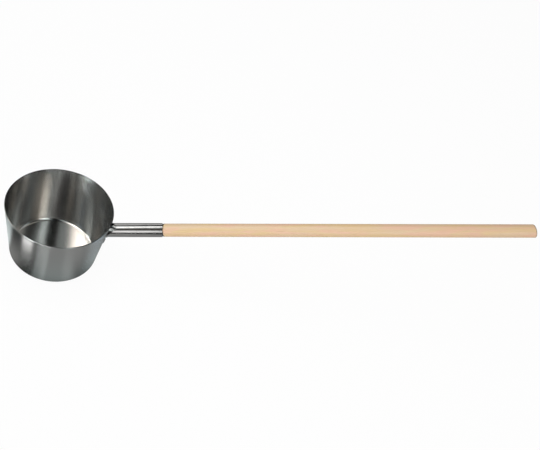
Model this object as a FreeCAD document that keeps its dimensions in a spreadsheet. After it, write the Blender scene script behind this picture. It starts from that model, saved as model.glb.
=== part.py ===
import FreeCAD, Part
import math
import os

import Sketcher
from FreeCAD import Vector

# Long-handled water dipper: a drawn steel cup, a rolled steel socket welded on its wall, a wooden
# stick pushed into the socket, and the nail that keeps it there.
#
# Frame: +Z up, the origin at the centre of the cup's flat base, +X towards the handle. The stick,
# the socket and the nail share a tilted frame: its origin is where the handle's axis meets the
# outside of the cup's wall, and its +X runs along that axis, away from the cup.

# Driving dimensions in millimetres and degrees: name, value, meaning.
SIZES = [
    ("rim_radius", 60.0, "outer radius of the cup at its rim"),
    ("base_radius", 49.25, "outer radius of the wall's cone at the base, before the corner is rounded"),
    ("cup_height", 74.0, "height of the cup"),
    ("cup_wall", 1.0, "thickness of the cup's sheet"),
    ("corner_radius", 5.5, "outer radius between the cup's floor and its wall"),
    ("rim_band_height", 4.0, "height of the trimmed band under the rim"),
    ("rim_flare", 0.9, "how far that band leans out over its height"),
    ("rim_edge_round", 0.4, "rounding of the rim's cut edge"),
    ("socket_height", 47.8, "height at which the handle's axis meets the cup's wall"),
    ("handle_rise_angle", 12.2, "angle by which the handle rises from level, in degrees"),
    ("stick_radius", 8.0, "radius of the wooden stick at its far end"),
    ("stick_thin_radius", 7.65, "radius of the stick by the socket, as it thickens outwards"),
    ("stick_reach", 506.4, "from the cup's wall to the stick's far end"),
    ("stick_end_round", 2.0, "rounding of the stick's far end"),
    ("shoulder_taper", 1.9, "length over which the stick narrows towards its shoulder"),
    ("shoulder_face", 0.1, "height of the shoulder's face over the tang"),
    ("shoulder_gap", 1.0, "gap between the socket's mouth and the shoulder"),
    ("tang_radius", 7.2, "radius of the stick's tang"),
    ("tang_start", 15.0, "from the cup's wall to the tang's inner end"),
    ("tang_chamfer", 1.0, "chamfer of the tang's inner end"),
    ("tang_clearance", 0.06, "gap between the tang and the socket's bore"),
    ("socket_length", 63.2, "from the cup's wall to the socket's mouth"),
    ("socket_sheet", 0.8, "thickness of the socket's sheet"),
    ("foot_flare", 4.0, "radius by which the socket's foot flares onto the cup's wall"),
    ("ear_radius", 14.0, "radius of the ears that lie on the cup's wall"),
    ("seam_width", 1.1, "width of the open seam along the socket"),
    ("seam_edge_round", 0.55, "rounding of the sheet's edges along the seam"),
    ("seam_turn_angle", 37.0, "turn of the seam from the top towards -Y, in degrees"),
    ("notch_length", 9.8, "from the cup's wall to the tip of the notch where the seam opens"),
    ("notch_half_angle", 36.0, "half the angle of that notch, in degrees"),
    ("nail_distance", 40.0, "from the cup's wall to the nail"),
    ("nail_shank_radius", 0.9, "radius of the nail's shank"),
    ("nail_length", 10.0, "length of the nail under its head"),
    ("nail_point_length", 2.0, "length of the nail's point"),
    ("nail_head_radius", 2.3, "radius of the nail's head"),
    ("nail_head_height", 1.1, "height of the nail's head"),
    ("nail_head_round", 0.9, "rounding of the nail's head"),
    ("nail_clearance", 0.03, "gap around the nail's shank in its holes"),
    ("cutter_overrun", 5.0, "how far a cutting form runs past what it cuts"),
]

# Sizes that follow from the driving ones: name, formula, meaning.
WORKED = [
    ("band_start_height", "=Sizes.cup_height - Sizes.rim_band_height", "height of the wall's cone"),
    ("band_start_radius", "=Sizes.rim_radius - Sizes.rim_flare", "outer radius at the cone's top"),
    ("wall_slope", "=(band_start_radius - Sizes.base_radius) / band_start_height", "lean of the wall"),
    ("wall_stretch", "=sqrt(1 + wall_slope ^ 2)", "level width of the wall over its thickness"),
    ("inner_rim_radius", "=Sizes.rim_radius - Sizes.cup_wall * wall_stretch", "inner radius at the rim"),
    ("inner_band_radius", "=band_start_radius - Sizes.cup_wall * wall_stretch",
     "inner radius where the rim's band starts"),
    ("floor_radius", "=Sizes.base_radius - Sizes.cup_wall * (wall_stretch - wall_slope)",
     "inner radius of the wall's cone at the floor"),
    ("inner_corner_radius", "=Sizes.corner_radius - Sizes.cup_wall", "radius round the cup's floor"),
    ("joint_x", "=Sizes.base_radius + Sizes.socket_height * wall_slope", "X of the handle's frame"),
    ("bore_radius", "=Sizes.tang_radius + Sizes.tang_clearance", "inner radius of the socket"),
    ("socket_radius", "=bore_radius + Sizes.socket_sheet", "outer radius of the socket"),
    ("inner_flare", "=Sizes.foot_flare + Sizes.socket_sheet", "flare on the inside of the foot"),
    ("lining_step", "=Sizes.socket_sheet * wall_stretch", "level thickness of the ears"),
    ("foot_depth", "=Sizes.ear_radius", "how far the socket's forms start inside the cup's wall"),
    ("shoulder_x", "=Sizes.socket_length + Sizes.shoulder_gap", "from the wall to the shoulder"),
    ("shoulder_radius", "=Sizes.tang_radius + Sizes.shoulder_face", "radius of the shoulder's face"),
    ("taper_end", "=shoulder_x + Sizes.shoulder_taper", "from the wall to the stick's full width"),
    ("nail_tip_height", "=Sizes.nail_length - socket_radius", "nail's tip above the handle's axis"),
    ("nail_hole_radius", "=Sizes.nail_shank_radius + Sizes.nail_clearance", "radius of its holes"),
    ("seam_mouth_width", "=Sizes.seam_width + 4 * Sizes.seam_edge_round", "width over the seam"),
    ("seam_start", "=Sizes.notch_length - 2 * Sizes.seam_edge_round",
     "from the cup's wall to the start of the seam's cutting form"),
    ("seam_reach", "=Sizes.socket_length + Sizes.cutter_overrun - seam_start", "length of its cutting form"),
    ("notch_reach", "=Sizes.notch_length + foot_depth", "length of the notch's cutting form"),
    ("notch_half_width", "=Sizes.seam_width / 2 + notch_reach * tan(Sizes.notch_half_angle * 1 deg)",
     "half the width of that form inside the cup's wall"),
]

# The handle's tilted frame, and the turns that lay a form along its axis or under its seam.
HANDLE_FRAME = ("placement(vector(Worked.joint_x; 0; Sizes.socket_height);"
                " rotation(vector(0; -1; 0); Sizes.handle_rise_angle))")
ALONG_AXIS = "rotation(vector(0; 1; 0); 90)"
SEAM_UP = "placement(vector(0; 0; 0); rotation(vector(1; 0; 0); Sizes.seam_turn_angle))"
UNTURNED = "rotation(vector(0; 0; 1); 0)"

# How closely two lengths agree when they are the same: in millimetres, and as a share of the length.
TOLERANCE = 1e-5
TOLERANCE_SHARE = 1e-6

doc = FreeCAD.newDocument("water_dipper")


def fill_sheet(name, rows):
    """Make a spreadsheet of named values: its first column the name, its second the value."""
    sheet = doc.addObject("Spreadsheet::Sheet", name)
    for row, (alias, value, meaning) in enumerate(rows, start=1):
        sheet.set("A%d" % row, alias)
        sheet.set("B%d" % row, str(value))
        sheet.set("C%d" % row, meaning)
        sheet.setAlias("B%d" % row, alias)
    doc.recompute()
    return sheet


fill_sheet("Sizes", SIZES)
fill_sheet("Worked", WORKED)
asked = doc.addObject("Spreadsheet::Sheet", "Asked")


def value_of(expression):
    """Let a sheet of its own work out an expression, and return the number."""
    asked.set("A1", "=" + expression)
    asked.recompute()
    return float(asked.get("A1"))


def bind(thing, **bindings):
    """Bind each named property of an object to an expression over the sheets."""
    for prop, expression in bindings.items():
        thing.setExpression(prop, expression)
    return thing


def in_handle_frame(offset="vector(0; 0; 0)", turn=UNTURNED, spin=None):
    """Return the placement, as an expression, of a form that is laid out in the handle's frame."""
    parts = [HANDLE_FRAME] + ([spin] if spin else []) + ["placement(%s; %s)" % (offset, turn)]
    return " * ".join(parts)


def add_form(kind, name, **bindings):
    """Add a Part primitive, with its sizes and its place bound to the sheets."""
    return bind(doc.addObject(kind, name), **bindings)


def join(name, *pieces):
    """Fuse several forms into one."""
    fusion = doc.addObject("Part::MultiFuse", name)
    fusion.Shapes = list(pieces)
    return fusion


def combine(kind, name, base, tool):
    """Cut one form with another, or keep what two forms share."""
    result = doc.addObject(kind, name)
    result.Base = base
    result.Tool = tool
    return result


def edges_where(shape, test):
    """Return the numbers, from 1, of a shape's edges that pass a test."""
    found = [index for index, edge in enumerate(shape.Edges, start=1) if test(edge)]
    if not found:
        raise ValueError("no edge of the shape passes the test")
    return found


def middle_of(edge):
    """Return the point halfway along an edge."""
    return edge.valueAt((edge.FirstParameter + edge.LastParameter) / 2)


def close(first, second):
    """Tell whether two lengths agree within the modeller's tolerance."""
    return math.isclose(first, second, rel_tol=TOLERANCE_SHARE, abs_tol=TOLERANCE)


def round_edges(name, base, radius, test):
    """Round the edges of a Part form that pass a test."""
    doc.recompute()
    rounded = doc.addObject("Part::Fillet", name)
    rounded.Base = base
    rounded.Edges = [(index, radius, radius) for index in edges_where(base.Shape, test)]
    return rounded


def new_body(name, placement=None):
    """Start a PartDesign body, placed by an expression unless it stands in the part's own frame."""
    body = doc.addObject("PartDesign::Body", name)
    body.Label = name
    if placement:
        body.setExpression("Placement", placement)
    doc.recompute()
    return body


def sketch_on(body, role, name):
    """Start a sketch on one of a body's own origin planes."""
    plane = next(feature for feature in body.Origin.OriginFeatures if feature.Role == role)
    sketch = body.newObject("Sketcher::SketchObject", name)
    sketch.AttachmentSupport = [(plane, "")]
    sketch.MapMode = "FlatFace"
    return sketch


def fix_point(sketch, line, end, across, up):
    """Hold the end of a line at a place given by two expressions, on an axis where one is zero."""
    for kind, axis, expression in (("DistanceX", -2, across), ("DistanceY", -1, up)):
        if expression == "0":
            sketch.addConstraint(Sketcher.Constraint("PointOnObject", line, end, axis))
        else:
            held = Sketcher.Constraint(kind, -1, 1, line, end, value_of(expression))
            index = sketch.addConstraint(held)
            sketch.setExpression("Constraints[%d]" % index, expression)


def draw_outline(sketch, corners):
    """Draw a closed outline through corners given as pairs of expressions."""
    places = [Vector(value_of(across), value_of(up), 0) for across, up in corners]
    count = len(corners)
    for line in range(count):
        sketch.addGeometry(Part.LineSegment(places[line], places[(line + 1) % count]), False)
    for line in range(count):
        sketch.addConstraint(Sketcher.Constraint("Coincident", line, 2, (line + 1) % count, 1))
    for line, (across, up) in enumerate(corners):
        fix_point(sketch, line, 1, across, up)


def revolve(body, sketch, axis):
    """Turn a sketch once round its own horizontal or vertical axis."""
    turned = body.newObject("PartDesign::Revolution", body.Label + "_turned")
    turned.Profile = sketch
    turned.ReferenceAxis = (sketch, [axis])
    turned.Angle = 360
    doc.recompute()
    return turned


def dress(body, kind, name, base, test, **bindings):
    """Add a fillet or a chamfer to the edges of a body that pass a test."""
    dressed = body.newObject(kind, name)
    dressed.Base = (base, ["Edge%d" % index for index in edges_where(base.Shape, test)])
    bind(dressed, **bindings)
    doc.recompute()
    return dressed


def circle_at(axis_index, place, radius):
    """Return a test for a full circle at a place along an axis, with a given radius."""
    def test(edge):
        if not isinstance(edge.Curve, Part.Circle):
            return False
        return close(edge.Curve.Center[axis_index], place) and close(edge.Curve.Radius, radius)
    return test


def make_cup():
    """The cup: its sheet's section turned once round, then its corner and its cut rim rounded."""
    body = new_body("cup")
    outline = sketch_on(body, "XZ_Plane", "cup_outline")
    draw_outline(outline, [
        ("0", "0"),
        ("Sizes.base_radius", "0"),
        ("Worked.band_start_radius", "Worked.band_start_height"),
        ("Sizes.rim_radius", "Sizes.cup_height"),
        ("Worked.inner_rim_radius", "Sizes.cup_height"),
        ("Worked.inner_band_radius", "Worked.band_start_height"),
        ("Worked.floor_radius", "Sizes.cup_wall"),
        ("0", "Sizes.cup_wall"),
    ])
    cup = revolve(body, outline, "V_Axis")
    roundings = [
        ("cup_corner", "0", "Sizes.base_radius", "Sizes.corner_radius"),
        ("floor_corner", "Sizes.cup_wall", "Worked.floor_radius", "Worked.inner_corner_radius"),
        ("outer_rim", "Sizes.cup_height", "Sizes.rim_radius", "Sizes.rim_edge_round"),
        ("inner_rim", "Sizes.cup_height", "Worked.inner_rim_radius", "Sizes.rim_edge_round"),
    ]
    for name, place, circle_radius, round_radius in roundings:
        test = circle_at(2, value_of(place), value_of(circle_radius))
        cup = dress(body, "PartDesign::Fillet", name, cup, test, Radius=round_radius)
    return body


def make_stick():
    """The wooden stick: a tang for the socket, a tapered shoulder, a long round shaft, a sawn end."""
    body = new_body("wooden_handle", in_handle_frame())
    outline = sketch_on(body, "XZ_Plane", "stick_outline")
    draw_outline(outline, [
        ("Sizes.tang_start", "0"),
        ("Sizes.tang_start", "Sizes.tang_radius"),
        ("Worked.shoulder_x", "Sizes.tang_radius"),
        ("Worked.shoulder_x", "Worked.shoulder_radius"),
        ("Worked.taper_end", "Sizes.stick_thin_radius"),
        ("Sizes.stick_reach", "Sizes.stick_radius"),
        ("Sizes.stick_reach", "0"),
    ])
    shaft = revolve(body, outline, "H_Axis")
    ends = [
        ("PartDesign::Chamfer", "tang_end", "Sizes.tang_start", "Sizes.tang_radius",
         {"Size": "Sizes.tang_chamfer"}),
        ("PartDesign::Fillet", "far_end", "Sizes.stick_reach", "Sizes.stick_radius",
         {"Radius": "Sizes.stick_end_round"}),
    ]
    for kind, name, place, radius, bindings in ends:
        test = circle_at(0, value_of(place), value_of(radius))
        shaft = dress(body, kind, name, shaft, test, **bindings)

    hole_circle = sketch_on(body, "XY_Plane", "nail_hole_circle")
    centre = Vector(value_of("Sizes.nail_distance"), 0, 0)
    radius = value_of("Worked.nail_hole_radius")
    hole_circle.addGeometry(Part.Circle(centre, Vector(0, 0, 1), radius), False)
    fix_point(hole_circle, 0, 3, "Sizes.nail_distance", "0")
    held = hole_circle.addConstraint(Sketcher.Constraint("Radius", 0, radius))
    hole_circle.setExpression("Constraints[%d]" % held, "Worked.nail_hole_radius")
    hole_circle.setExpression("AttachmentOffset.Base.z", "Worked.nail_tip_height")
    hole = body.newObject("PartDesign::Pocket", "nail_hole")
    hole.Profile = hole_circle
    bind(hole, Length="Worked.nail_tip_height + Sizes.stick_radius")
    doc.recompute()
    return body


def make_nail():
    """The nail, driven up through the socket's underside: a round head, a shank and a point."""
    seat = in_handle_frame("vector(Sizes.nail_distance; 0; -Worked.socket_radius)")
    body = new_body("handle_nail", seat)
    outline = sketch_on(body, "XZ_Plane", "nail_outline")
    draw_outline(outline, [
        ("0", "-Sizes.nail_head_height"),
        ("Sizes.nail_head_radius", "-Sizes.nail_head_height"),
        ("Sizes.nail_head_radius", "0"),
        ("Sizes.nail_shank_radius", "0"),
        ("Sizes.nail_shank_radius", "Sizes.nail_length - Sizes.nail_point_length"),
        ("0", "Sizes.nail_length"),
    ])
    solid = revolve(body, outline, "V_Axis")
    head_rim = circle_at(2, -value_of("Sizes.nail_head_height"), value_of("Sizes.nail_head_radius"))
    dress(body, "PartDesign::Fillet", "nail_head", solid, head_rim, Radius="Sizes.nail_head_round")
    return body


def tube_and_wall(name, tube_radius, tube_end, wall_step, flare):
    """Join a tube along the handle's axis to the cup's cone, with a flare where they meet."""
    tube = add_form("Part::Cylinder", name + "_tube", Radius=tube_radius,
                    Height="Worked.foot_depth + " + tube_end,
                    Placement=in_handle_frame("vector(-Worked.foot_depth; 0; 0)", ALONG_AXIS))
    cone = add_form("Part::Cone", name + "_cone", Radius1="Sizes.base_radius + " + wall_step,
                    Radius2="Worked.band_start_radius + " + wall_step,
                    Height="Worked.band_start_height")
    joined = join(name + "_joined", cone, tube)
    doc.recompute()

    to_handle = tube.Placement.inverse()
    radius = value_of(tube_radius)
    slope = value_of("Worked.wall_slope")
    foot_radius = value_of("Sizes.base_radius + " + wall_step)

    def where_they_meet(edge):
        place = middle_of(edge)
        beside = to_handle.multVec(place)
        on_tube = close(math.hypot(beside.x, beside.y), radius)
        on_cone = close(math.hypot(place.x, place.y), foot_radius + slope * place.z)
        return on_tube and on_cone

    return round_edges(name + "_flared", joined, value_of(flare), where_they_meet)


def seam_cutter():
    """The open seam: a narrow slot along the socket whose outer edges are eased."""
    slot = add_form("Part::Box", "seam_slot", Length="Worked.seam_reach",
                    Width="Sizes.seam_width", Height="Worked.socket_radius",
                    Placement=in_handle_frame(
                        "vector(Worked.seam_start; -Sizes.seam_width / 2; 0)", spin=SEAM_UP))
    mouth = add_form("Part::Box", "seam_mouth", Length="Worked.seam_reach",
                     Width="Worked.seam_mouth_width", Height="Sizes.cutter_overrun",
                     Placement=in_handle_frame(
                         "vector(Worked.seam_start; -Worked.seam_mouth_width / 2; Worked.socket_radius)",
                         spin=SEAM_UP))
    slot_and_mouth = join("seam_form", slot, mouth)
    doc.recompute()
    to_slot = slot.Placement.inverse()
    radius = value_of("Worked.socket_radius")
    width = value_of("Sizes.seam_width")

    def beside_the_slot(edge):
        ends = [to_slot.multVec(vertex.Point) for vertex in edge.Vertexes]
        if abs(ends[0].x - ends[-1].x) <= width:
            return False
        return all(close(end.z, radius) and (close(end.y, 0) or close(end.y, width)) for end in ends)

    return round_edges("seam_cutter", slot_and_mouth, value_of("Sizes.seam_edge_round"), beside_the_slot)


def make_socket():
    """The socket: a sheet rolled round the tang, flared onto the cup, with its seam and notch."""
    outside = tube_and_wall("outside", "Worked.socket_radius", "Sizes.socket_length",
                            "Worked.lining_step", "Sizes.foot_flare")
    inside = tube_and_wall("inside", "Worked.bore_radius", "Sizes.socket_length + Sizes.cutter_overrun",
                           "0", "Worked.inner_flare")
    shell = combine("Part::Cut", "socket_shell", outside, inside)
    reach = add_form("Part::Cylinder", "ear_reach", Radius="Sizes.ear_radius",
                     Height="Worked.foot_depth + Sizes.socket_length",
                     Placement=in_handle_frame("vector(-Worked.foot_depth; 0; 0)", ALONG_AXIS))
    trimmed = combine("Part::Common", "socket_trimmed", shell, reach)

    notch = add_form("Part::Wedge", "notch_form", Ymin="-Worked.foot_depth", Ymax="Sizes.notch_length",
                     Xmin="-Worked.notch_half_width", Xmax="Worked.notch_half_width",
                     X2min="-Sizes.seam_width / 2", X2max="Sizes.seam_width / 2",
                     Zmin="0", Zmax="Sizes.ear_radius + Sizes.cutter_overrun",
                     Z2min="0", Z2max="Sizes.ear_radius + Sizes.cutter_overrun",
                     Placement=in_handle_frame(turn="rotation(vector(0; 0; 1); -90)", spin=SEAM_UP))
    nail_hole = add_form("Part::Cylinder", "nail_hole_form", Radius="Worked.nail_hole_radius",
                         Height="Worked.socket_radius + Sizes.cutter_overrun",
                         Placement=in_handle_frame(
                             "vector(Sizes.nail_distance; 0; -Worked.socket_radius - Sizes.cutter_overrun)"))
    openings = join("socket_openings", seam_cutter(), notch, nail_hole)
    socket = combine("Part::Cut", "handle_socket", trimmed, openings)
    socket.Label = "handle_socket"
    return socket


def check_all():
    """Stop if any object of the document failed."""
    for thing in doc.Objects:
        if "Invalid" in thing.State or "Error" in thing.State:
            raise RuntimeError("%s is in state %s" % (thing.Name, thing.State))


def write_parts(pieces):
    """Check every sub-part's shape, print its size, and write it to its own file."""
    for piece in pieces:
        shape = piece.Shape
        if shape.isNull() or not shape.isValid() or len(shape.Solids) != 1:
            raise RuntimeError("%s is not one valid solid" % piece.Label)
    os.makedirs("parts", exist_ok=True)
    for piece in pieces:
        shape = piece.Shape
        box = shape.BoundBox
        print("%-16s volume %10.1f mm3, box %.2f %.2f %.2f to %.2f %.2f %.2f" % (
            piece.Label, shape.Volume, box.XMin, box.YMin, box.ZMin, box.XMax, box.YMax, box.ZMax))
        shape.exportStep("parts/%s.step" % piece.Label)


sub_parts = [make_cup(), make_socket(), make_stick(), make_nail()]
doc.recompute()
check_all()
write_parts(sub_parts)
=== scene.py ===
# %% [markdown]
# # A long-handled water dipper
#
# A kitchen dipper for cold or hot water: a drawn steel cup, a rolled steel socket welded on its wall,
# and a round stick of pale wood nailed into the socket. The four pieces come from the workshop
# drawing, already in metres and in place. This lesson gives them their finishes, turns a finer stick,
# adds the bead of weld round the socket's foot, and photographs the dipper on a white table.

# %% Bring in the drawn pieces
import math

import bmesh
import bpy
from mathutils import Euler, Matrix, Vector


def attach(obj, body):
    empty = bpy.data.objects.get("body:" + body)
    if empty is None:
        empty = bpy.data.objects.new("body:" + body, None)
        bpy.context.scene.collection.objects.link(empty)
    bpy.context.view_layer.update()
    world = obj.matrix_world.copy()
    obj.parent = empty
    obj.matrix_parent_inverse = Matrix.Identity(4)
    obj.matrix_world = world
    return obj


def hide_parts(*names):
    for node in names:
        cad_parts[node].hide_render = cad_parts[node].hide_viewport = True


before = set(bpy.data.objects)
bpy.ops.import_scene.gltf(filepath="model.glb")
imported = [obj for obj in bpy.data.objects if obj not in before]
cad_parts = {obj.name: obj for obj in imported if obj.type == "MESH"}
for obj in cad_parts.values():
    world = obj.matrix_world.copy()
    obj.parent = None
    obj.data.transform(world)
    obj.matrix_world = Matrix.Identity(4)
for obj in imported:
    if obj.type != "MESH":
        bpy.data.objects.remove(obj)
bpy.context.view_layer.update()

MM = 0.001
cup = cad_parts["cup"]
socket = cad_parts["handle_socket"]
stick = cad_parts["wooden_handle"]
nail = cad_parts["handle_nail"]


def size_in_mm(low, high):
    """Return a box's three sizes in millimetres."""
    return [round((end - start) / MM, 1) for start, end in zip(low, high)]


# %% [markdown]
# ## The sizes that the finishes and the weld need
#
# The cup's wall is a cone, and the handle leaves it at a low rise. The stick, the weld and the wood's
# grain all have to follow that tilted line, so its start and its direction are written once, here.

# %% Sizes of the cup and of the handle's line
BASE_RADIUS = 49.25 * MM
CONE_TOP_RADIUS = 59.1 * MM
CONE_TOP_HEIGHT = 70.0 * MM
HANDLE_HEIGHT = 47.8 * MM
HANDLE_RISE = math.radians(12.2)

WALL_SLOPE = (CONE_TOP_RADIUS - BASE_RADIUS) / CONE_TOP_HEIGHT
handle_start = Vector((BASE_RADIUS + WALL_SLOPE * HANDLE_HEIGHT, 0, HANDLE_HEIGHT))
along = Vector((math.cos(HANDLE_RISE), 0, math.sin(HANDLE_RISE)))
sideways = Vector((0, 1, 0))
upright = along.cross(sideways)
print("the handle leaves the cup at", [round(part / MM, 1) for part in handle_start], "mm")


def in_handle(run, aside, up):
    """Return the point that lies so far along the handle, to its side, and above its axis."""
    return handle_start + run * along + aside * sideways + up * upright


# %% [markdown]
# ## Two helpers for new pieces
#
# Both new pieces are made by carrying a ring of points along a line, so one helper lists the faces
# between the rings. The other makes the piece: it joins points that fall together, such as a ring
# that has shrunk to a point, and turns every face outward.


# %% Join rings, and make a piece
def join_rings(rings, sides):
    """List the faces between rings of points that follow one another."""
    faces = []
    for ring in range(rings - 1):
        for side in range(sides):
            first = ring * sides + side
            second = ring * sides + (side + 1) % sides
            faces.append((first, second, second + sides, first + sides))
    return faces


def new_piece(name, points, faces):
    """Make a smooth, closed piece from points and faces, riding with the whole dipper."""
    mesh = bpy.data.meshes.new(name)
    mesh.from_pydata(points, [], faces)
    closing = bmesh.new()
    closing.from_mesh(mesh)
    bmesh.ops.remove_doubles(closing, verts=closing.verts, dist=0.001 * MM)
    bmesh.ops.recalc_face_normals(closing, faces=closing.faces)
    closing.to_mesh(mesh)
    closing.free()
    mesh.shade_smooth()
    piece = bpy.data.objects.new(name, mesh)
    bpy.context.scene.collection.objects.link(piece)
    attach(piece, "root")
    return piece


print("helpers for new pieces ready")

# %% [markdown]
# ## Turn the stick
#
# The stick is one round length of wood. The drawing's stick is right in size but plain, so a finer one
# is turned here in its place: a list of distances and radii is swept round the handle's axis, as on a
# lathe. It narrows towards the socket, where a short shoulder meets the steel. A saw leaves the far
# end a little slanted, and sanding by hand rounds its edge more on the side where the saw came in.

# %% Sizes of the stick
TANG_START = 15.0 * MM
TANG_RADIUS = 7.2 * MM
TANG_CHAMFER = 1.0 * MM
SHOULDER = 64.2 * MM
SHOULDER_RADIUS = 7.3 * MM
RING_BEFORE_SHOULDER = 4.0 * MM
TAPER_END = 66.1 * MM
THIN_RADIUS = 7.65 * MM
STICK_RADIUS = 8.0 * MM
STICK_REACH = 506.4 * MM

# the side where the saw came in, as shares backward and upward; how far the end slants for each
# millimetre towards that side; and how much of the stick's end bends to follow the slant
SAW_BACK, SAW_UP = 0.74, 0.67
SAW_SLANT = 0.125
SLANTED_LENGTH = 5.0 * MM

# the rounding of the end's edge: its mean size, and how much that grows towards the saw's side
END_ROUND = 2.1 * MM
END_ROUND_CHANGE = 1.2 * MM

# where the flat end has one more ring, as a share of the radius
END_RING_SHARE = 0.4
ROUND_STEPS = 6
SHAFT_STEPS = 80
STICK_SIDES = 144
print("the stick is", round(2 * STICK_RADIUS / MM, 1), "mm thick at its far end")

# %% Draw the stick's outline
profile = [
    (TANG_START, 0.0),
    (TANG_START, TANG_RADIUS - TANG_CHAMFER),
    (TANG_START + TANG_CHAMFER, TANG_RADIUS),
    (SHOULDER - RING_BEFORE_SHOULDER, TANG_RADIUS),
    (SHOULDER, TANG_RADIUS),
    (SHOULDER, SHOULDER_RADIUS),
]
for step in range(1, ROUND_STEPS + 1):
    share = step / ROUND_STEPS
    swell = math.sin(share * math.pi / 2)
    radius = SHOULDER_RADIUS + swell * (THIN_RADIUS - SHOULDER_RADIUS)
    profile.append((SHOULDER + share * (TAPER_END - SHOULDER), radius))

shaft_end = STICK_REACH - END_ROUND - END_ROUND_CHANGE
for step in range(1, SHAFT_STEPS + 1):
    share = step / SHAFT_STEPS
    radius = THIN_RADIUS + share * (STICK_RADIUS - THIN_RADIUS)
    profile.append((TAPER_END + share * (shaft_end - TAPER_END), radius))
print("the stick's outline has", len(profile), "points before its far end")


# %% Turn the stick
def end_rings(turn_about):
    """Round the far end's edge: most at the side where the saw came in, least where it came out."""
    side = SAW_BACK * math.cos(turn_about) + SAW_UP * math.sin(turn_about)
    size = END_ROUND + END_ROUND_CHANGE * side
    rings = []
    for step in range(1, ROUND_STEPS + 1):
        turn = step / ROUND_STEPS * math.pi / 2
        rings.append((STICK_REACH - size * (1 - math.sin(turn)), STICK_RADIUS - size * (1 - math.cos(turn))))
    return rings + [(STICK_REACH, STICK_RADIUS * END_RING_SHARE), (STICK_REACH, 0.0)]


def saw_line(run, aside, up):
    """Pull the far end back on the side where the saw came in, as a slanted cut does."""
    near_end = max(0.0, 1.0 - (STICK_REACH - run) / SLANTED_LENGTH)
    return run - near_end * SAW_SLANT * (SAW_BACK * aside + SAW_UP * up + STICK_RADIUS)


def turn_stick():
    """Sweep the stick's outline round the handle's axis."""
    turns = [2 * math.pi * side / STICK_SIDES for side in range(STICK_SIDES)]
    outlines = [profile + end_rings(turn) for turn in turns]
    points = []
    for ring in range(len(outlines[0])):
        for turn, outline in zip(turns, outlines):
            run, radius = outline[ring]
            aside, up = radius * math.cos(turn), radius * math.sin(turn)
            points.append(in_handle(saw_line(run, aside, up), aside, up))
    return new_piece("stick", points, join_rings(len(outlines[0]), STICK_SIDES))


turned_stick = turn_stick()
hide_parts("wooden_handle")
print("the stick has", len(turned_stick.data.polygons), "faces")

# %% [markdown]
# ## Lay the weld round the socket's foot
#
# The socket's foot is spread into ears and welded to the cup. A weld laid by hand is a low, rippled
# bead. Here a small ring of points is carried round the ears' edge, on the wall's cone. Its size
# ripples every two millimetres and swells more slowly as well, so that the bead doesn't look like a
# screw's thread. It stays open where the seam's notch meets the wall, and is thinner at its two ends.

# %% Sizes of the weld
WELD_RUN_RADIUS = 14.2 * MM
WELD_RADIUS = 1.0 * MM
NOTCH_TURN = math.radians(-37.0)
NOTCH_HALF = math.radians(41.0)
WELD_STEPS = 300
WELD_SIDES = 12

# how much the bead changes its size, and over which length: its ripple, its swell, and its thin ends
RIPPLE, RIPPLE_LENGTH = 0.04, 1.9 * MM
SWELL, SWELL_LENGTH = 0.07, 14.45 * MM
WELD_TIP, WELD_TIP_LENGTH = 0.25, 1.5 * MM

# how many times a point is moved towards the wall, and by which share of its distance
APPROACHES, APPROACH = 20, 0.9

weld_start = NOTCH_TURN + NOTCH_HALF
weld_sweep = 2 * math.pi - 2 * NOTCH_HALF
print("the weld goes round", round(math.degrees(weld_sweep)), "degrees of the foot")


# %% Find the wall, and size the bead
def on_wall(aside, up):
    """Find the point of the cup's wall that lies at this place as seen along the handle."""
    run = 0.0
    for _ in range(APPROACHES):
        point = in_handle(run, aside, up)
        wall_radius = BASE_RADIUS + WALL_SLOPE * point.z
        run -= (math.hypot(point.x, point.y) - wall_radius) * APPROACH
    return in_handle(run, aside, up)


def bead_radius(step):
    """Return the bead's radius at a step of its way round."""
    from_end = min(step, WELD_STEPS - step) / WELD_STEPS * weld_sweep * WELD_RUN_RADIUS
    ripple = RIPPLE * math.sin(2 * math.pi * from_end / RIPPLE_LENGTH)
    swell = SWELL * math.sin(2 * math.pi * from_end / SWELL_LENGTH)
    return WELD_RADIUS * (1.0 + ripple + swell) * min(1.0, WELD_TIP + from_end / WELD_TIP_LENGTH)


print("the bead is", round(2 * bead_radius(WELD_STEPS // 2) / MM, 2), "mm thick halfway round")


# %% Lay the weld
def lay_weld():
    """Carry a small ring round the ears' edge, swelling and shrinking as it goes."""
    line = []
    for step in range(WELD_STEPS + 1):
        turn = weld_start + weld_sweep * step / WELD_STEPS
        line.append(on_wall(WELD_RUN_RADIUS * math.sin(turn), WELD_RUN_RADIUS * math.cos(turn)))
    points = []
    for step, middle in enumerate(line):
        ahead = (line[min(step + 1, WELD_STEPS)] - line[max(step - 1, 0)]).normalized()
        outward = Vector((middle.x, middle.y, -WALL_SLOPE * math.hypot(middle.x, middle.y))).normalized()
        across = ahead.cross(outward)
        for side in range(WELD_SIDES):
            turn = 2 * math.pi * side / WELD_SIDES
            points.append(middle + bead_radius(step) * (math.cos(turn) * across + math.sin(turn) * outward))
    first_end = tuple(reversed(range(WELD_SIDES)))
    last_end = tuple(WELD_STEPS * WELD_SIDES + side for side in range(WELD_SIDES))
    faces = join_rings(len(line), WELD_SIDES) + [first_end, last_end]
    return new_piece("foot_weld", points, faces)


weld = lay_weld()
print("the weld spans", size_in_mm(weld.bound_box[0], weld.bound_box[6]), "mm")

# %% [markdown]
# ## A few helpers for finishes
#
# Each finish is a small graph of nodes: a place on the piece goes in, a pattern is made from it, and
# the pattern sets the colour, the roughness and the fine relief. These helpers keep the graphs short
# to write. A value that is the same all over a piece is set on the shader itself.


# %% Start a finish, and add nodes to it
# where most of a noise pattern's values lie
NOISE_LOW, NOISE_HIGH = 0.3, 0.7


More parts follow.
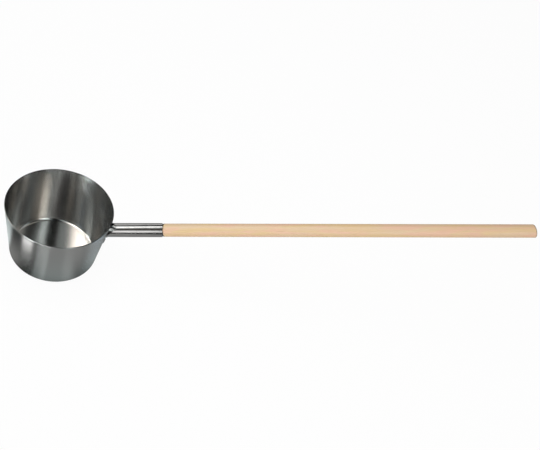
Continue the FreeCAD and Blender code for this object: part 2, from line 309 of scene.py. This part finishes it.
class Finish:
    """A material with its node tree, its shader, and short ways to add nodes."""

    def __init__(self, name):
        self.material = bpy.data.materials.new(name)
        self.material.use_nodes = True
        self.nodes = self.material.node_tree.nodes
        self.links = self.material.node_tree.links
        self.shader = self.nodes["Principled BSDF"]

    def add(self, kind, settings=None, **inputs):
        """Add a node, set its own settings, and fill its inputs with sockets or values."""
        node = self.nodes.new(kind)
        for setting, value in (settings or {}).items():
            setattr(node, setting, value)
        for place, value in inputs.items():
            target = node.inputs[int(place[1:])] if place[0] == "_" else node.inputs[place]
            if isinstance(value, bpy.types.NodeSocket):
                self.links.new(value, target)
            else:
                target.default_value = value
        return node

    def math(self, operation, first, second=0.0):
        """Work out one sum on a value."""
        return self.add("ShaderNodeMath", {"operation": operation}, _0=first, _1=second).outputs[0]

    def dot(self, vector, direction):
        """Measure how far a vector reaches in a direction."""
        node = self.add("ShaderNodeVectorMath", {"operation": "DOT_PRODUCT"}, _0=vector, _1=direction)
        return node.outputs["Value"]

    def place(self):
        """Return where on the piece a point lies, in metres, in the dipper's own frame."""
        return self.add("ShaderNodeTexCoord").outputs["Object"]

    def parts(self, vector):
        """Split a vector into its X, Y and Z."""
        return self.add("ShaderNodeSeparateXYZ", Vector=vector).outputs

    def noise(self, vector, scale, detail=3.0, roughness=0.5):
        """Return a cloudy pattern between 0 and 1."""
        node = self.add("ShaderNodeTexNoise", Vector=vector, Scale=scale, Detail=detail, Roughness=roughness)
        return node.outputs["Fac"]

    def spread(self, value, low, high, start=NOISE_LOW, end=NOISE_HIGH):
        """Stretch the values from start to end so that they run from low to high."""
        node = self.add("ShaderNodeMapRange", Value=value)
        node.inputs["From Min"].default_value = start
        node.inputs["From Max"].default_value = end
        node.inputs["To Min"].default_value = low
        node.inputs["To Max"].default_value = high
        return node.outputs["Result"]

    def blend(self, share, first, second, how="MIX"):
        """Mix two colours by a share."""
        node = self.add("ShaderNodeMix", {"data_type": "RGBA", "blend_type": how}, _0=share)
        # the mix node keeps its two colours at places 6 and 7, and gives the mixed colour at place 2
        for index, colour in ((6, first), (7, second)):
            if isinstance(colour, bpy.types.NodeSocket):
                self.links.new(colour, node.inputs[index])
            else:
                node.inputs[index].default_value = (*colour, 1.0)
        return node.outputs[2]

    def relief(self, height, depth):
        """Turn a pattern into fine relief on the shader's normal; depth is in metres."""
        node = self.add("ShaderNodeBump", Height=height, Distance=depth, Strength=1.0)
        self.links.new(node.outputs["Normal"], self.shader.inputs["Normal"])

    def feed(self, **inputs):
        """Link patterns to the shader's inputs."""
        for name, pattern in inputs.items():
            self.links.new(pattern, self.shader.inputs[name.replace("_", " ")])

    def fix(self, **inputs):
        """Set values that are the same all over the piece on the shader itself."""
        for name, value in inputs.items():
            self.shader.inputs[name.replace("_", " ")].default_value = value

    def give_to(self, *pieces):
        """Put the finish on pieces, in place of what they had."""
        for piece in pieces:
            piece.data.materials.clear()
            piece.data.materials.append(self.material)


print("finish helpers ready")

# %% [markdown]
# ## The cup's satin steel
#
# The cup is drawn from sheet and then polished on a lathe, so its fine scratches run round it: level
# rings on the wall and circles on the floor. Adding the height and the distance from the axis gives
# one number that changes up the wall and across the floor alike, and a pattern that is very fine in
# that number, and slow in the others, is a ring-wise polish. Such a polish spreads a highlight up
# and down, which the shader's anisotropy does.
#
# The floor is polished smoother than the wall, and its steel is painted lighter as a painted
# reflection. The rim's cut edge is painted dark grey as painted shade, except at the front left,
# where the lip keeps its bright reflection.

# %% Tones of the cup
DARKER_STEEL = (0.555, 0.545, 0.535)
LIGHTER_STEEL = (0.585, 0.575, 0.565)
# the floor's steel, painted lighter as a painted reflection
FLOOR_STEEL_PAINTED_LIGHTER = (0.73, 0.715, 0.70)
# painted shade on the rim's cut edge
RIM_EDGE_SHADE = (0.16, 0.16, 0.16)

# how fine the patterns are, per metre: round the cup, up its wall, and in every direction
ROUND_SCALE, RING_SCALE, CLOUD_SCALE = 25.0, 1800.0, 30.0
ROUGH_LEAST, ROUGH_MOST = 0.205, 0.215
RING_ROUGHNESS = 0.03
RING_DEPTH = 0.0002 * MM
FLOOR_SHARE = 0.70
FLOOR_TOP, CORNER_LOW, CORNER_TOP = 1.5 * MM, 2.0 * MM, 5.0 * MM
LEVEL_START, LEVEL_FULL = 0.3, 0.9
EDGE_START, EDGE_FULL = 73.45 * MM, 73.7 * MM
# the side where the rim's edge gets no painted shade, so that its bright reflection shows
BRIGHT_LIP_SIDE = Vector((-0.6, -0.8, 0.0))
BRIGHT_LIP_START, BRIGHT_LIP_FULL = 20.0 * MM, 48.0 * MM
print("the floor is", round((1 - FLOOR_SHARE) * 100), "percent smoother than the wall")


# %% Lay the rings of the polish
def ring_place(finish):
    """Return a place that changes slowly round the cup, and fast up its wall and across its floor."""
    x, y, z = finish.parts(finish.place())
    squares = finish.math("ADD", finish.math("MULTIPLY", x, x), finish.math("MULTIPLY", y, y))
    rise = finish.math("MULTIPLY", finish.math("ADD", z, finish.math("SQRT", squares)), RING_SCALE)
    slow_x = finish.math("MULTIPLY", x, ROUND_SCALE)
    slow_y = finish.math("MULTIPLY", y, ROUND_SCALE)
    return finish.add("ShaderNodeCombineXYZ", X=slow_x, Y=slow_y, Z=rise).outputs[0]


cup_steel = Finish("satin_drawn_steel")
rings = cup_steel.noise(ring_place(cup_steel), 1.0, detail=3.0, roughness=0.6)
clouds = cup_steel.noise(cup_steel.place(), CLOUD_SCALE)
polished = cup_steel.blend(cup_steel.spread(rings, 0.0, 1.0), DARKER_STEEL, LIGHTER_STEEL)
satin = cup_steel.math(
    "ADD", cup_steel.spread(rings, 0.0, RING_ROUGHNESS), cup_steel.spread(clouds, ROUGH_LEAST, ROUGH_MOST))
print("polish laid in rings")

# %% Find the floor and the rim's edge
height = cup_steel.parts(cup_steel.place())["Z"]
skyward = cup_steel.parts(cup_steel.add("ShaderNodeTexCoord").outputs["Normal"])["Z"]
level_steel = cup_steel.spread(skyward, 0.0, 1.0, LEVEL_START, LEVEL_FULL)
low_down = cup_steel.spread(height, 1.0, 0.0, CORNER_LOW, CORNER_TOP)
on_floor = cup_steel.math("MULTIPLY", low_down, level_steel)
roughness_share = cup_steel.spread(height, FLOOR_SHARE, 1.0, FLOOR_TOP, CORNER_TOP)

# painted shade on the rim's cut edge, fading out towards the front left
towards_bright_lip = cup_steel.dot(cup_steel.place(), BRIGHT_LIP_SIDE)
rim_shade_reach = cup_steel.spread(towards_bright_lip, 1.0, 0.0, BRIGHT_LIP_START, BRIGHT_LIP_FULL)
cut_edge = cup_steel.spread(height, 0.0, 1.0, EDGE_START, EDGE_FULL)
painted_rim_shade = cup_steel.math("MULTIPLY", cut_edge, rim_shade_reach)
print("the rim's edge starts", round(EDGE_START / MM, 2), "mm up")

# %% Finish the cup
# the base colour carries painted light: the lighter floor and the painted shade on the rim's edge
cup_steel.feed(
    Base_Color=cup_steel.blend(painted_rim_shade, cup_steel.blend(on_floor, polished, FLOOR_STEEL_PAINTED_LIGHTER), RIM_EDGE_SHADE),
    Roughness=cup_steel.math("MULTIPLY", satin, roughness_share),
)
cup_steel.relief(rings, RING_DEPTH)
cup_steel.fix(Metallic=1.0, Anisotropic=0.85, Anisotropic_Rotation=0.25)
round_the_cup = cup_steel.add("ShaderNodeTangent", {"direction_type": "RADIAL", "axis": "Z"})
cup_steel.feed(Tangent=round_the_cup.outputs[0])
cup_steel.give_to(cup)
print("cup finished with", len(cup_steel.nodes), "nodes")

# %% [markdown]
# ## The socket's and the nail's steel
#
# The socket keeps the mill's polish of its sheet, whose grain runs along the tube. The pattern is
# laid in the handle's own directions, long along the tube and fine across it. The weld and the nail
# get the same steel.

# %% Lay a pattern along the handle
BRIGHT_STEEL = (0.61, 0.60, 0.59)
HANDLED_STEEL = (0.50, 0.49, 0.48)
SMOOTH_SHEET, ROUGH_SHEET = 0.14, 0.24
GRAIN_DEPTH = 0.004 * MM

# how fine the patterns are, per metre: along the tube, and across it
MILL_GRAIN = (30.0, 900.0)
HANDLING = (60.0, 120.0)


def handle_place(finish, lengthwise, across):
    """Return a place in the handle's directions, scaled along it and across it."""
    place = finish.place()
    shifted = finish.add("ShaderNodeVectorMath", {"operation": "SUBTRACT"}, _0=place, _1=handle_start)
    scaled = []
    for direction, scale in ((along, lengthwise), (sideways, across), (upright, across)):
        scaled.append(finish.math("MULTIPLY", finish.dot(shifted.outputs[0], direction), scale))
    return finish.add("ShaderNodeCombineXYZ", X=scaled[0], Y=scaled[1], Z=scaled[2]).outputs[0]


print("the mill's grain is", round(MILL_GRAIN[1] / MILL_GRAIN[0]), "times as long as it is wide")

# %% Finish the socket, the nail and the weld
socket_steel = Finish("rolled_sheet_steel")
grain = socket_steel.noise(handle_place(socket_steel, *MILL_GRAIN), 1.0, detail=3.0, roughness=0.6)
handling = socket_steel.noise(handle_place(socket_steel, *HANDLING), 1.0, detail=2.0)
socket_steel.feed(
    Base_Color=socket_steel.blend(socket_steel.spread(handling, 0.0, 1.0), HANDLED_STEEL, BRIGHT_STEEL),
    Roughness=socket_steel.spread(grain, SMOOTH_SHEET, ROUGH_SHEET),
)
socket_steel.relief(grain, GRAIN_DEPTH)
socket_steel.fix(Metallic=1.0)
socket_steel.give_to(socket, nail, weld)
print("socket, nail and weld finished with", len(socket_steel.nodes), "nodes")

# %% [markdown]
# ## The stick's pale wood
#
# The stick is bare wood, turned round and sanded. It has faint streaks of a yellower and a pinker
# tone, short darker flecks and fine fibres, all drawn out along the stick, and the growth rings of
# the tree, whose heart lay outside the stick. Most of the patterns are about ten times as long as
# they are wide, and the fibres are longer. The wood is a little darker towards its far end. In the
# socket and at its mouth the wood is painted nearly black, as painted shade in the gap between wood
# and steel, and the sawn end shows the darker ends of the fibres, with painted shade on its edge.

# %% Tones of the wood
PLAIN_WOOD = (0.80, 0.60, 0.385)
YELLOW_WOOD = (0.81, 0.595, 0.315)
PINK_WOOD = (0.85, 0.555, 0.385)
RING_WOOD = (0.62, 0.41, 0.24)
# a tint that darkens the wood towards its far end
FAR_END_TINT = (0.92, 0.90, 0.90)
# painted shade in the gap at the socket's mouth and on the wood inside the socket
MOUTH_SHADE_WOOD = (0.045, 0.032, 0.024)
# darker end grain, and painted shade on the end's rounded edge
END_GRAIN_AND_SHADE = (0.36, 0.27, 0.19)
print("the sawn end is", round(END_GRAIN_AND_SHADE[0] / PLAIN_WOOD[0], 2), "times as bright as the plain wood")

# %% Sizes of the wood's patterns
# how fine the patterns are, per metre: along the stick, and across it
STREAKS = (16.0, 170.0)
PINK_STREAKS = (24.0, 210.0)
FIBRES = (60.0, 1600.0)
FLECKS = (70.0, 520.0)
WANDERING = (6.0, 60.0)

HEART_ASIDE, HEART_UP = -16.0 * MM, -37.0 * MM
RING_WIDTH = 2.1 * MM
RING_WANDER = 0.6 * MM
LATE_START = 0.55
RING_SHARE, FIBRE_SHARE, FLECK_SHARE = 0.16, 0.14, 0.30
FIBRE_DEPTH = 0.012 * MM
RING_RELIEF = 0.3
print("the tree's heart lay", round(math.hypot(HEART_ASIDE, HEART_UP) / MM), "mm from the stick's axis")

# %% Draw the streaks, the rings and the fibres
wood = Finish("sanded_pale_wood")
run, aside, up = wood.parts(handle_place(wood, 1.0, 1.0))
streaks = wood.noise(handle_place(wood, *STREAKS), 1.0, detail=2.0)
pink_streaks = wood.noise(handle_place(wood, *PINK_STREAKS), 1.0, detail=2.0)
fibres = wood.noise(handle_place(wood, *FIBRES), 1.0, detail=2.0, roughness=0.6)
flecks = wood.noise(handle_place(wood, *FLECKS), 1.0, detail=1.0)

heart_aside = wood.math("SUBTRACT", aside, HEART_ASIDE)
heart_up = wood.math("SUBTRACT", up, HEART_UP)
heart_line = wood.add("ShaderNodeCombineXYZ", Y=heart_aside, Z=heart_up).outputs[0]
from_heart = wood.add("ShaderNodeVectorMath", {"operation": "LENGTH"}, _0=heart_line).outputs["Value"]
wandering = wood.noise(handle_place(wood, *WANDERING), 1.0, detail=2.0)
wander = wood.spread(wandering, -RING_WANDER, RING_WANDER)
ring_number = wood.math("DIVIDE", wood.math("ADD", from_heart, wander), RING_WIDTH)
late_wood = wood.spread(wood.math("FRACT", ring_number), 0.0, 1.0, LATE_START, 1.0)
print("patterns drawn with", len(wood.nodes), "nodes")

# %% Colour the grain, and darken the wood towards its far end
FAR_END_START, FAR_END_FULL = 100.0 * MM, 460.0 * MM
plain = wood.blend(wood.spread(streaks, 0.0, 1.0, start=0.4, end=0.6), PLAIN_WOOD, YELLOW_WOOD)
warmed = wood.blend(wood.spread(pink_streaks, 0.0, 1.0, start=0.48, end=0.62), plain, PINK_WOOD)
ringed = wood.blend(wood.math("MULTIPLY", late_wood, RING_SHARE), warmed, RING_WOOD)
fibred = wood.blend(wood.spread(fibres, 0.0, FIBRE_SHARE), ringed, RING_WOOD)
flecked = wood.blend(wood.spread(flecks, 0.0, FLECK_SHARE, start=0.66, end=0.76), fibred, RING_WOOD)
# the wood grows darker towards its far end
far_end_tinted = wood.blend(1.0, flecked, FAR_END_TINT, "MULTIPLY")
far_end_darker = wood.blend(wood.spread(run, 0.0, 1.0, FAR_END_START, FAR_END_FULL), flecked, far_end_tinted)
# the wood is darkest from here out to its far end
print("the grip is darkest from", round(FAR_END_FULL / MM), "mm out")

# %% Paint shade at the socket's mouth, and darken the sawn end
# the side where the painted shade reaches least, as shares backward and upward: it is the front and the top
LEAST_SHADE_BACK, LEAST_SHADE_UP = -0.67, 0.74
MOUTH_SHADE_REACH = 3.0 * MM
MOUTH_SHADE_FULL, MOUTH_SHADE_GONE = 63.0 * MM, 63.7 * MM
SAWN_LENGTH = 0.9 * MM
SAWN_DARKNESS = 0.85
ROUND_SHOWN = 0.6

# painted shade in the gap at the socket's mouth and on the wood inside the socket, seen through the seam; it
# reaches furthest at the back and underneath
least_shade_side = wood.math("ADD", wood.math("MULTIPLY", aside, LEAST_SHADE_BACK), wood.math("MULTIPLY", up, LEAST_SHADE_UP))
extra_shade_reach = wood.spread(least_shade_side, MOUTH_SHADE_REACH, 0.0, 0.0, THIN_RADIUS)
mouth_shade = wood.spread(wood.math("SUBTRACT", run, extra_shade_reach), 1.0, 0.0, MOUTH_SHADE_FULL, MOUTH_SHADE_GONE)

# the darker end grain follows the slant of the cut, and takes in a part of the rounded edge as painted shade
saw_side = wood.math("ADD", wood.math("MULTIPLY", aside, SAW_BACK), wood.math("MULTIPLY", up, SAW_UP))
pulled_back = wood.math("MULTIPLY", wood.math("ADD", saw_side, STICK_RADIUS), SAW_SLANT)
least_round = ROUND_SHOWN * (END_ROUND - END_ROUND_CHANGE)
most_round = ROUND_SHOWN * (END_ROUND + END_ROUND_CHANGE)
rounded = wood.spread(saw_side, least_round, most_round, -STICK_RADIUS, STICK_RADIUS)
to_the_cut = wood.math("ADD", wood.math("ADD", run, pulled_back), rounded)
sawn = wood.spread(to_the_cut, 0.0, SAWN_DARKNESS, STICK_REACH - SAWN_LENGTH, STICK_REACH)
print("damp reaches", round(MOUTH_SHADE_REACH / MM, 1), "mm further at the back")

# %% Finish the stick
SMOOTH_WOOD, ROUGH_WOOD = 0.42, 0.52
wood.feed(
    Base_Color=wood.blend(mouth_shade, wood.blend(sawn, far_end_darker, END_GRAIN_AND_SHADE), MOUTH_SHADE_WOOD),
    Roughness=wood.spread(fibres, SMOOTH_WOOD, ROUGH_WOOD),
)
wood.relief(wood.math("ADD", fibres, wood.math("MULTIPLY", late_wood, RING_RELIEF)), FIBRE_DEPTH)
wood.fix(Sheen_Weight=0.15, Sheen_Roughness=0.4)
wood.give_to(stick, turned_stick)
print("stick finished with", len(wood.nodes), "nodes")

# %% [markdown]
# ## The table and the room
#
# The dipper stands on a white table in a white room. The table is pale paint. What the camera, metal
# or glass sees of the table and of the room is lifted to white, and the paint keeps a trace of the
# dipper's shadow. The room's own light is lower, so that colours come out about as they are written.


# %% Lift a surface to white
def lift_to_white(finish, share):
    """Let a share of white glow through where the camera, metal or glass looks at a surface."""
    rays = finish.add("ShaderNodeLightPath")
    looked_at = finish.math("MAXIMUM", rays.outputs["Is Camera Ray"], rays.outputs["Is Glossy Ray"])
    looked_at = finish.math("MAXIMUM", looked_at, rays.outputs["Is Transmission Ray"])
    glow = finish.add("ShaderNodeEmission", Strength=1.0)
    lifted = finish.add("ShaderNodeMixShader", _0=finish.math("MULTIPLY", looked_at, share),
                        _1=finish.shader.outputs[0], _2=glow.outputs[0])
    finish.links.new(lifted.outputs[0], finish.nodes["Material Output"].inputs["Surface"])


print("helper for white surfaces ready")

# %% Lay the table
TABLE_HALF = 6.0
TABLE_LIFT = 0.95
SPECKLE_SCALE = 120.0
PAINT, PALER_PAINT = (0.86, 0.86, 0.86), (0.88, 0.88, 0.88)
table_mesh = bpy.data.meshes.new("table")
corners = [(-TABLE_HALF, -TABLE_HALF, 0), (TABLE_HALF, -TABLE_HALF, 0),
           (TABLE_HALF, TABLE_HALF, 0), (-TABLE_HALF, TABLE_HALF, 0)]
table_mesh.from_pydata(corners, [], [(0, 1, 2, 3)])
table = bpy.data.objects.new("table", table_mesh)
bpy.context.scene.collection.objects.link(table)
table_paint = Finish("table_paint")
speckle = table_paint.noise(table_paint.place(), SPECKLE_SCALE)
table_paint.feed(Base_Color=table_paint.blend(speckle, PAINT, PALER_PAINT))
table_paint.fix(Roughness=0.9)
lift_to_white(table_paint, TABLE_LIFT)
table_paint.give_to(table)
print("a table of", 2 * TABLE_HALF, "m laid")

# %% Fill the room with light
ROOM_LEVEL = 0.42
world = bpy.data.worlds.new("room")
bpy.context.scene.world = world
world.use_nodes = True
room_nodes, room_links = world.node_tree.nodes, world.node_tree.links
room_rays = room_nodes.new("ShaderNodeLightPath")
looked_at = room_rays.outputs["Is Camera Ray"]
for kind in ("Is Glossy Ray", "Is Transmission Ray"):
    either = room_nodes.new("ShaderNodeMath")
    either.operation = "MAXIMUM"
    room_links.new(looked_at, either.inputs[0])
    room_links.new(room_rays.outputs[kind], either.inputs[1])
    looked_at = either.outputs[0]
level = room_nodes.new("ShaderNodeMapRange")
level.inputs["To Min"].default_value = ROOM_LEVEL
level.inputs["To Max"].default_value = 1.0
room_nodes["Background"].inputs["Color"].default_value = (1.0, 1.0, 1.0, 1.0)
room_links.new(looked_at, level.inputs["Value"])
room_links.new(level.outputs["Result"], room_nodes["Background"].inputs["Strength"])
print("the room gives light at a level of", ROOM_LEVEL)

# %% [markdown]
# ## Lamps for the wood and the table
#
# Wood wants broad soft lamps, and steel would only show them as pale patches. So each light here falls
# on a group of pieces: the two large lamps light the wood and the table, and the metal gets what it
# mirrors in the next step.


# %% Hang the two large lamps
def lit_group(name, pieces):
    """Gather the pieces that a light falls on."""
    group = bpy.data.collections.new(name)
    for piece in pieces:
        group.objects.link(piece)
    return group


def hang_light(name, place, aim, width, depth, power, pieces):
    """Hang a soft light that looks at a point and falls on the pieces given."""
    lamp = bpy.data.lights.new(name, "AREA")
    lamp.shape = "RECTANGLE"
    lamp.size, lamp.size_y = width, depth
    lamp.energy = power
    holder = bpy.data.objects.new(name, lamp)
    bpy.context.scene.collection.objects.link(holder)
    holder.location = place
    holder.rotation_euler = (Vector(aim) - Vector(place)).to_track_quat("-Z", "Y").to_euler()
    holder.light_linking.receiver_collection = pieces
    return lamp


lit_by_lamps = lit_group("lit_by_lamps", (stick, turned_stick, table))
hang_light("overhead_light", place=(-0.05, 0.05, 1.1), aim=(0.05, 0, 0),
           width=1.1, depth=0.7, power=6.7, pieces=lit_by_lamps)
hang_light("front_light", place=(0.5, -1.05, 0.25), aim=(0.35, 0, 0.1),
           width=1.2, depth=0.4, power=4.9, pieces=lit_by_lamps)

# %% [markdown]
# ## What the metal mirrors
#
# Polished steel has hardly any colour of its own: it shows the room. In a bare white room the cup
# would be a flat pale grey. So a dark tent is put round the dipper and a dark cloth on the table, which
# only mirrored light can see, and bright cards are hung in them: each gives one of the soft upright
# bands in the cup. A card is a place on the tent with a soft edge, so it is written as numbers in the
# tent's skin: where it hangs, how wide it is, from where to where it reaches, its level and its tint.

# %% List the cards
PLAIN = (1.0, 1.0, 1.0)
WARM = (1.09, 1.02, 0.89)
COOL = (0.92, 1.04, 1.04)
BLUE = (0.76, 1.02, 1.22)

# each card: its name; the heading of its middle and half its width, in degrees from +X towards +Y;
# its start and its end, on the tent as heights in degrees, on the cloth as distances in metres; how
# bright it is; and its tint
TENT_CARDS = [
    ("window_left_front", 225, 9, 7, 21, 26.0, COOL),
    ("front_low", 264, 9, 7, 35, 1.4, PLAIN),
    ("back_low", 112, 25, 7, 35, 0.9, PLAIN),
    ("front_right", 298, 9, 21, 35, 9.0, COOL),
    ("front_right_tall", 309, 9, 21, 75, 1.15, COOL),
    ("right_low", 349, 15, 21, 35, 1.9, BLUE),
    ("right", 11, 15, 35, 51, 0.75, COOL),
    ("back_left_tall", 146, 25, 21, 75, 0.6, COOL),
    ("back_left", 158, 15, 35, 51, 4.0, WARM),
    ("right_high", 45, 9, 51, 75, 1.0, WARM),
    ("back_high", 118, 9, 51, 75, 1.0, PLAIN),
    ("left_high", 191, 25, 51, 75, 1.2, WARM),
    ("front_high", 236, 25, 51, 75, 0.5, COOL),
    ("right_overhead", 332, 9, 51, 90, 0.2, COOL),
]
CLOTH_CARDS = [
    ("left_front_patch", 225, 9, 0.107, 0.190, 4.75, PLAIN),
    ("front_patch", 253, 9, 0.475, 1.100, 31.0, PLAIN),
    ("right_patch", 349, 15, 0.190, 1.100, 5.0, BLUE),
    ("left_foot", 169, 15, 0.046, 0.107, 0.75, COOL),
    ("left_near", 180, 40, 0.046, 0.073, 0.3, PLAIN),
    ("front_foot", 253, 9, 0.046, 0.107, 0.2, COOL),
    ("front_near", 281, 25, 0.046, 0.073, 0.33, COOL),
    ("right_foot", 304, 15, 0.046, 0.107, 0.07, PLAIN),
    ("back_right_near", 34, 70, 0.046, 0.073, 0.4, COOL),
    ("right_wide", 304, 70, 0.073, 0.190, 0.3, PLAIN),
    ("back_wide", 118, 28, 0.073, 1.100, 0.5, PLAIN),
    ("back_right", 62, 16, 0.073, 0.190, 0.35, PLAIN),
]
TENT_DARK = (0.001, 0.001, 0.001)
CLOTH_DARK = (0.010, 0.013, 0.011)
print(len(TENT_CARDS), "cards on the tent,", len(CLOTH_CARDS), "on the cloth")

# %% Soften the cards' edges
SIDE_EDGE_START, SIDE_EDGE_END = 0.6, 1.4


def soft_width(offset, half_width):
    """Return 1 in the middle of a card and 0 outside it, passing a half at half its width."""
    share = min(max(abs(offset) / half_width, SIDE_EDGE_START), SIDE_EDGE_END)
    through = (share - SIDE_EDGE_START) / (SIDE_EDGE_END - SIDE_EDGE_START)
    return 0.5 + 0.5 * math.cos(through * math.pi)


def soft_reach(value, start, end, edge):
    """Return 1 between start and end and 0 outside, rising and falling over the edge's length."""
    rise = min(1.0, max(0.0, (value - start) / edge + 0.5))
    return rise * min(1.0, max(0.0, (end - value) / edge + 0.5))


def mirrored_colour(heading, reach, dark, cards, edge, measure):
    """Add up the cards at one place of the tent or of the cloth."""
    colour = list(dark)
    for _, middle, half_width, start, end, level, tint in cards:
        offset = (heading - middle + 180) % 360 - 180
        inside = soft_width(offset, half_width)
        inside *= soft_reach(measure(reach), measure(start), measure(end), edge)
        colour = [old + inside * level * part for old, part in zip(colour, tint)]
    return colour


print("a card is", round(soft_width(9, 9), 2), "times as bright at its edge as in its middle")

# %% Make the paper of the cards
card_paper = bpy.data.materials.new("card_paper")
card_paper.use_nodes = True
paper_nodes = card_paper.node_tree.nodes
paper_nodes.clear()
written = paper_nodes.new("ShaderNodeAttribute")
written.attribute_name = "card_colour"
paper_glow = paper_nodes.new("ShaderNodeEmission")
paper_out = paper_nodes.new("ShaderNodeOutputMaterial")
card_paper.node_tree.links.new(written.outputs["Color"], paper_glow.inputs["Color"])
card_paper.node_tree.links.new(paper_glow.outputs[0], paper_out.inputs["Surface"])
print("the paper glows in the colours written in", written.attribute_name)

# %% Sizes of the tent and the cloth
TENT_RADIUS = 1.5
TENT_HEIGHTS = list(range(0, 90, 2)) + [89.9]
CLOTH_START = 44.0 * MM
CLOTH_LIFT = 0.2 * MM
CLOTH_RINGS = 40
SKIN_SIDES = 160

# how soft a card's start and end are: on the tent in degrees, on the cloth as a logarithm
TENT_EDGE = 14.0
CLOTH_EDGE = 0.5

# the cloth starts where the cup stands, and its rings grow wider apart by the same share each time
cloth_growth = TENT_RADIUS / CLOTH_START
cloth_distances = [CLOTH_START * cloth_growth ** (ring / CLOTH_RINGS) for ring in range(CLOTH_RINGS + 1)]


def on_tent(heading, height):
    """Return the tent's point at a heading in radians and a height in degrees."""
    level_radius = TENT_RADIUS * math.cos(math.radians(height))
    return (level_radius * math.cos(heading), level_radius * math.sin(heading),
            TENT_RADIUS * math.sin(math.radians(height)))


def on_cloth(heading, distance):
    """Return the cloth's point at a heading in radians and a distance from the cup's axis."""
    return (distance * math.cos(heading), distance * math.sin(heading), CLOTH_LIFT)


print("the cloth's rings lie from", round(cloth_distances[0], 3), "to", round(cloth_distances[-1], 3), "m")

# %% Sew the tent and the cloth
lit_by_cards = lit_group("lit_by_cards", (cup, socket, nail, weld))


def sew(name, reaches, to_point, dark, cards, edge, measure):
    """Make a round skin with the cards written in its colours, which only metal sees."""
    points, colours = [], []
    for reach in reaches:
        for side in range(SKIN_SIDES):
            heading = 360 * side / SKIN_SIDES
            points.append(to_point(math.radians(heading), reach))
            colours.append(mirrored_colour(heading, reach, dark, cards, edge, measure))
    mesh = bpy.data.meshes.new(name)
    mesh.from_pydata(points, [], join_rings(len(reaches), SKIN_SIDES))
    glow = mesh.attributes.new("card_colour", "FLOAT_COLOR", "POINT")
    for spot, colour in zip(glow.data, colours):
        spot.color = (*colour, 1.0)
    skin = bpy.data.objects.new(name, mesh)
    bpy.context.scene.collection.objects.link(skin)
    skin.visible_camera = skin.visible_diffuse = skin.visible_shadow = False
    skin.light_linking.receiver_collection = lit_by_cards
    mesh.materials.append(card_paper)
    return skin


tent = sew("tent", TENT_HEIGHTS, on_tent, TENT_DARK, TENT_CARDS, TENT_EDGE, float)
cloth = sew("cloth", cloth_distances, on_cloth, CLOTH_DARK, CLOTH_CARDS, CLOTH_EDGE, math.log)
print("the tent has", len(tent.data.polygons), "faces and the cloth", len(cloth.data.polygons))

# %% [markdown]
# ## Two small lights for the metal
#
# The rolled socket catches a narrow bright line from overhead that the cup doesn't. A small strip
# light that falls on the socket and the nail alone gives that line. The right of the cup's floor is
# very bright, because it mirrors a lit part of the wall. A light as small as a matchbox, over the
# cup's opening, lights that part, and it falls on the cup alone.

# %% Hang the two small lights
lit_by_strip = lit_group("lit_by_strip", (socket, nail))
lit_by_glint = lit_group("lit_by_glint", (cup,))
hang_light("socket_strip", place=(0.06, 0.055, 0.33), aim=(0.10, 0.0, 0.06),
           width=0.30, depth=0.05, power=0.12, pieces=lit_by_strip)
glint = hang_light("floor_glint", place=(-0.004, 0.033, 0.10), aim=(0.040, 0.025, 0.02),
                   width=0.036, depth=0.030, power=0.0014, pieces=lit_by_glint)
glint.spread = math.radians(50)
glint.color = (1.0, 0.95, 0.91)

# %% [markdown]
# ## The camera
#
# The dipper is seen from the front and well above. The camera is about a metre away, so what is
# nearer looks a little larger, and it is rolled so that the stick lies level across the picture. A
# small shift frames the dipper without turning the camera.

# %% Place the camera
LENS, PICTURE_WIDTH = 60.0, 36.0
CAMERA_PLACE = (-0.01755, -0.70430, 0.81932)
CAMERA_TURN = (42.755, -15.824, -3.276)
view = bpy.data.cameras.new("camera")
view.lens = LENS
view.sensor_width = PICTURE_WIDTH
view.sensor_fit = "HORIZONTAL"
view.shift_x, view.shift_y = 0.0136, 0.0244
camera = bpy.data.objects.new("camera", view)
bpy.context.scene.collection.objects.link(camera)
camera.location = CAMERA_PLACE
camera.rotation_euler = Euler([math.radians(turn) for turn in CAMERA_TURN])
bpy.context.scene.camera = camera
bpy.context.scene.view_settings.view_transform = "Standard"
print("camera", round(camera.location.length, 3), "m from the cup's foot")
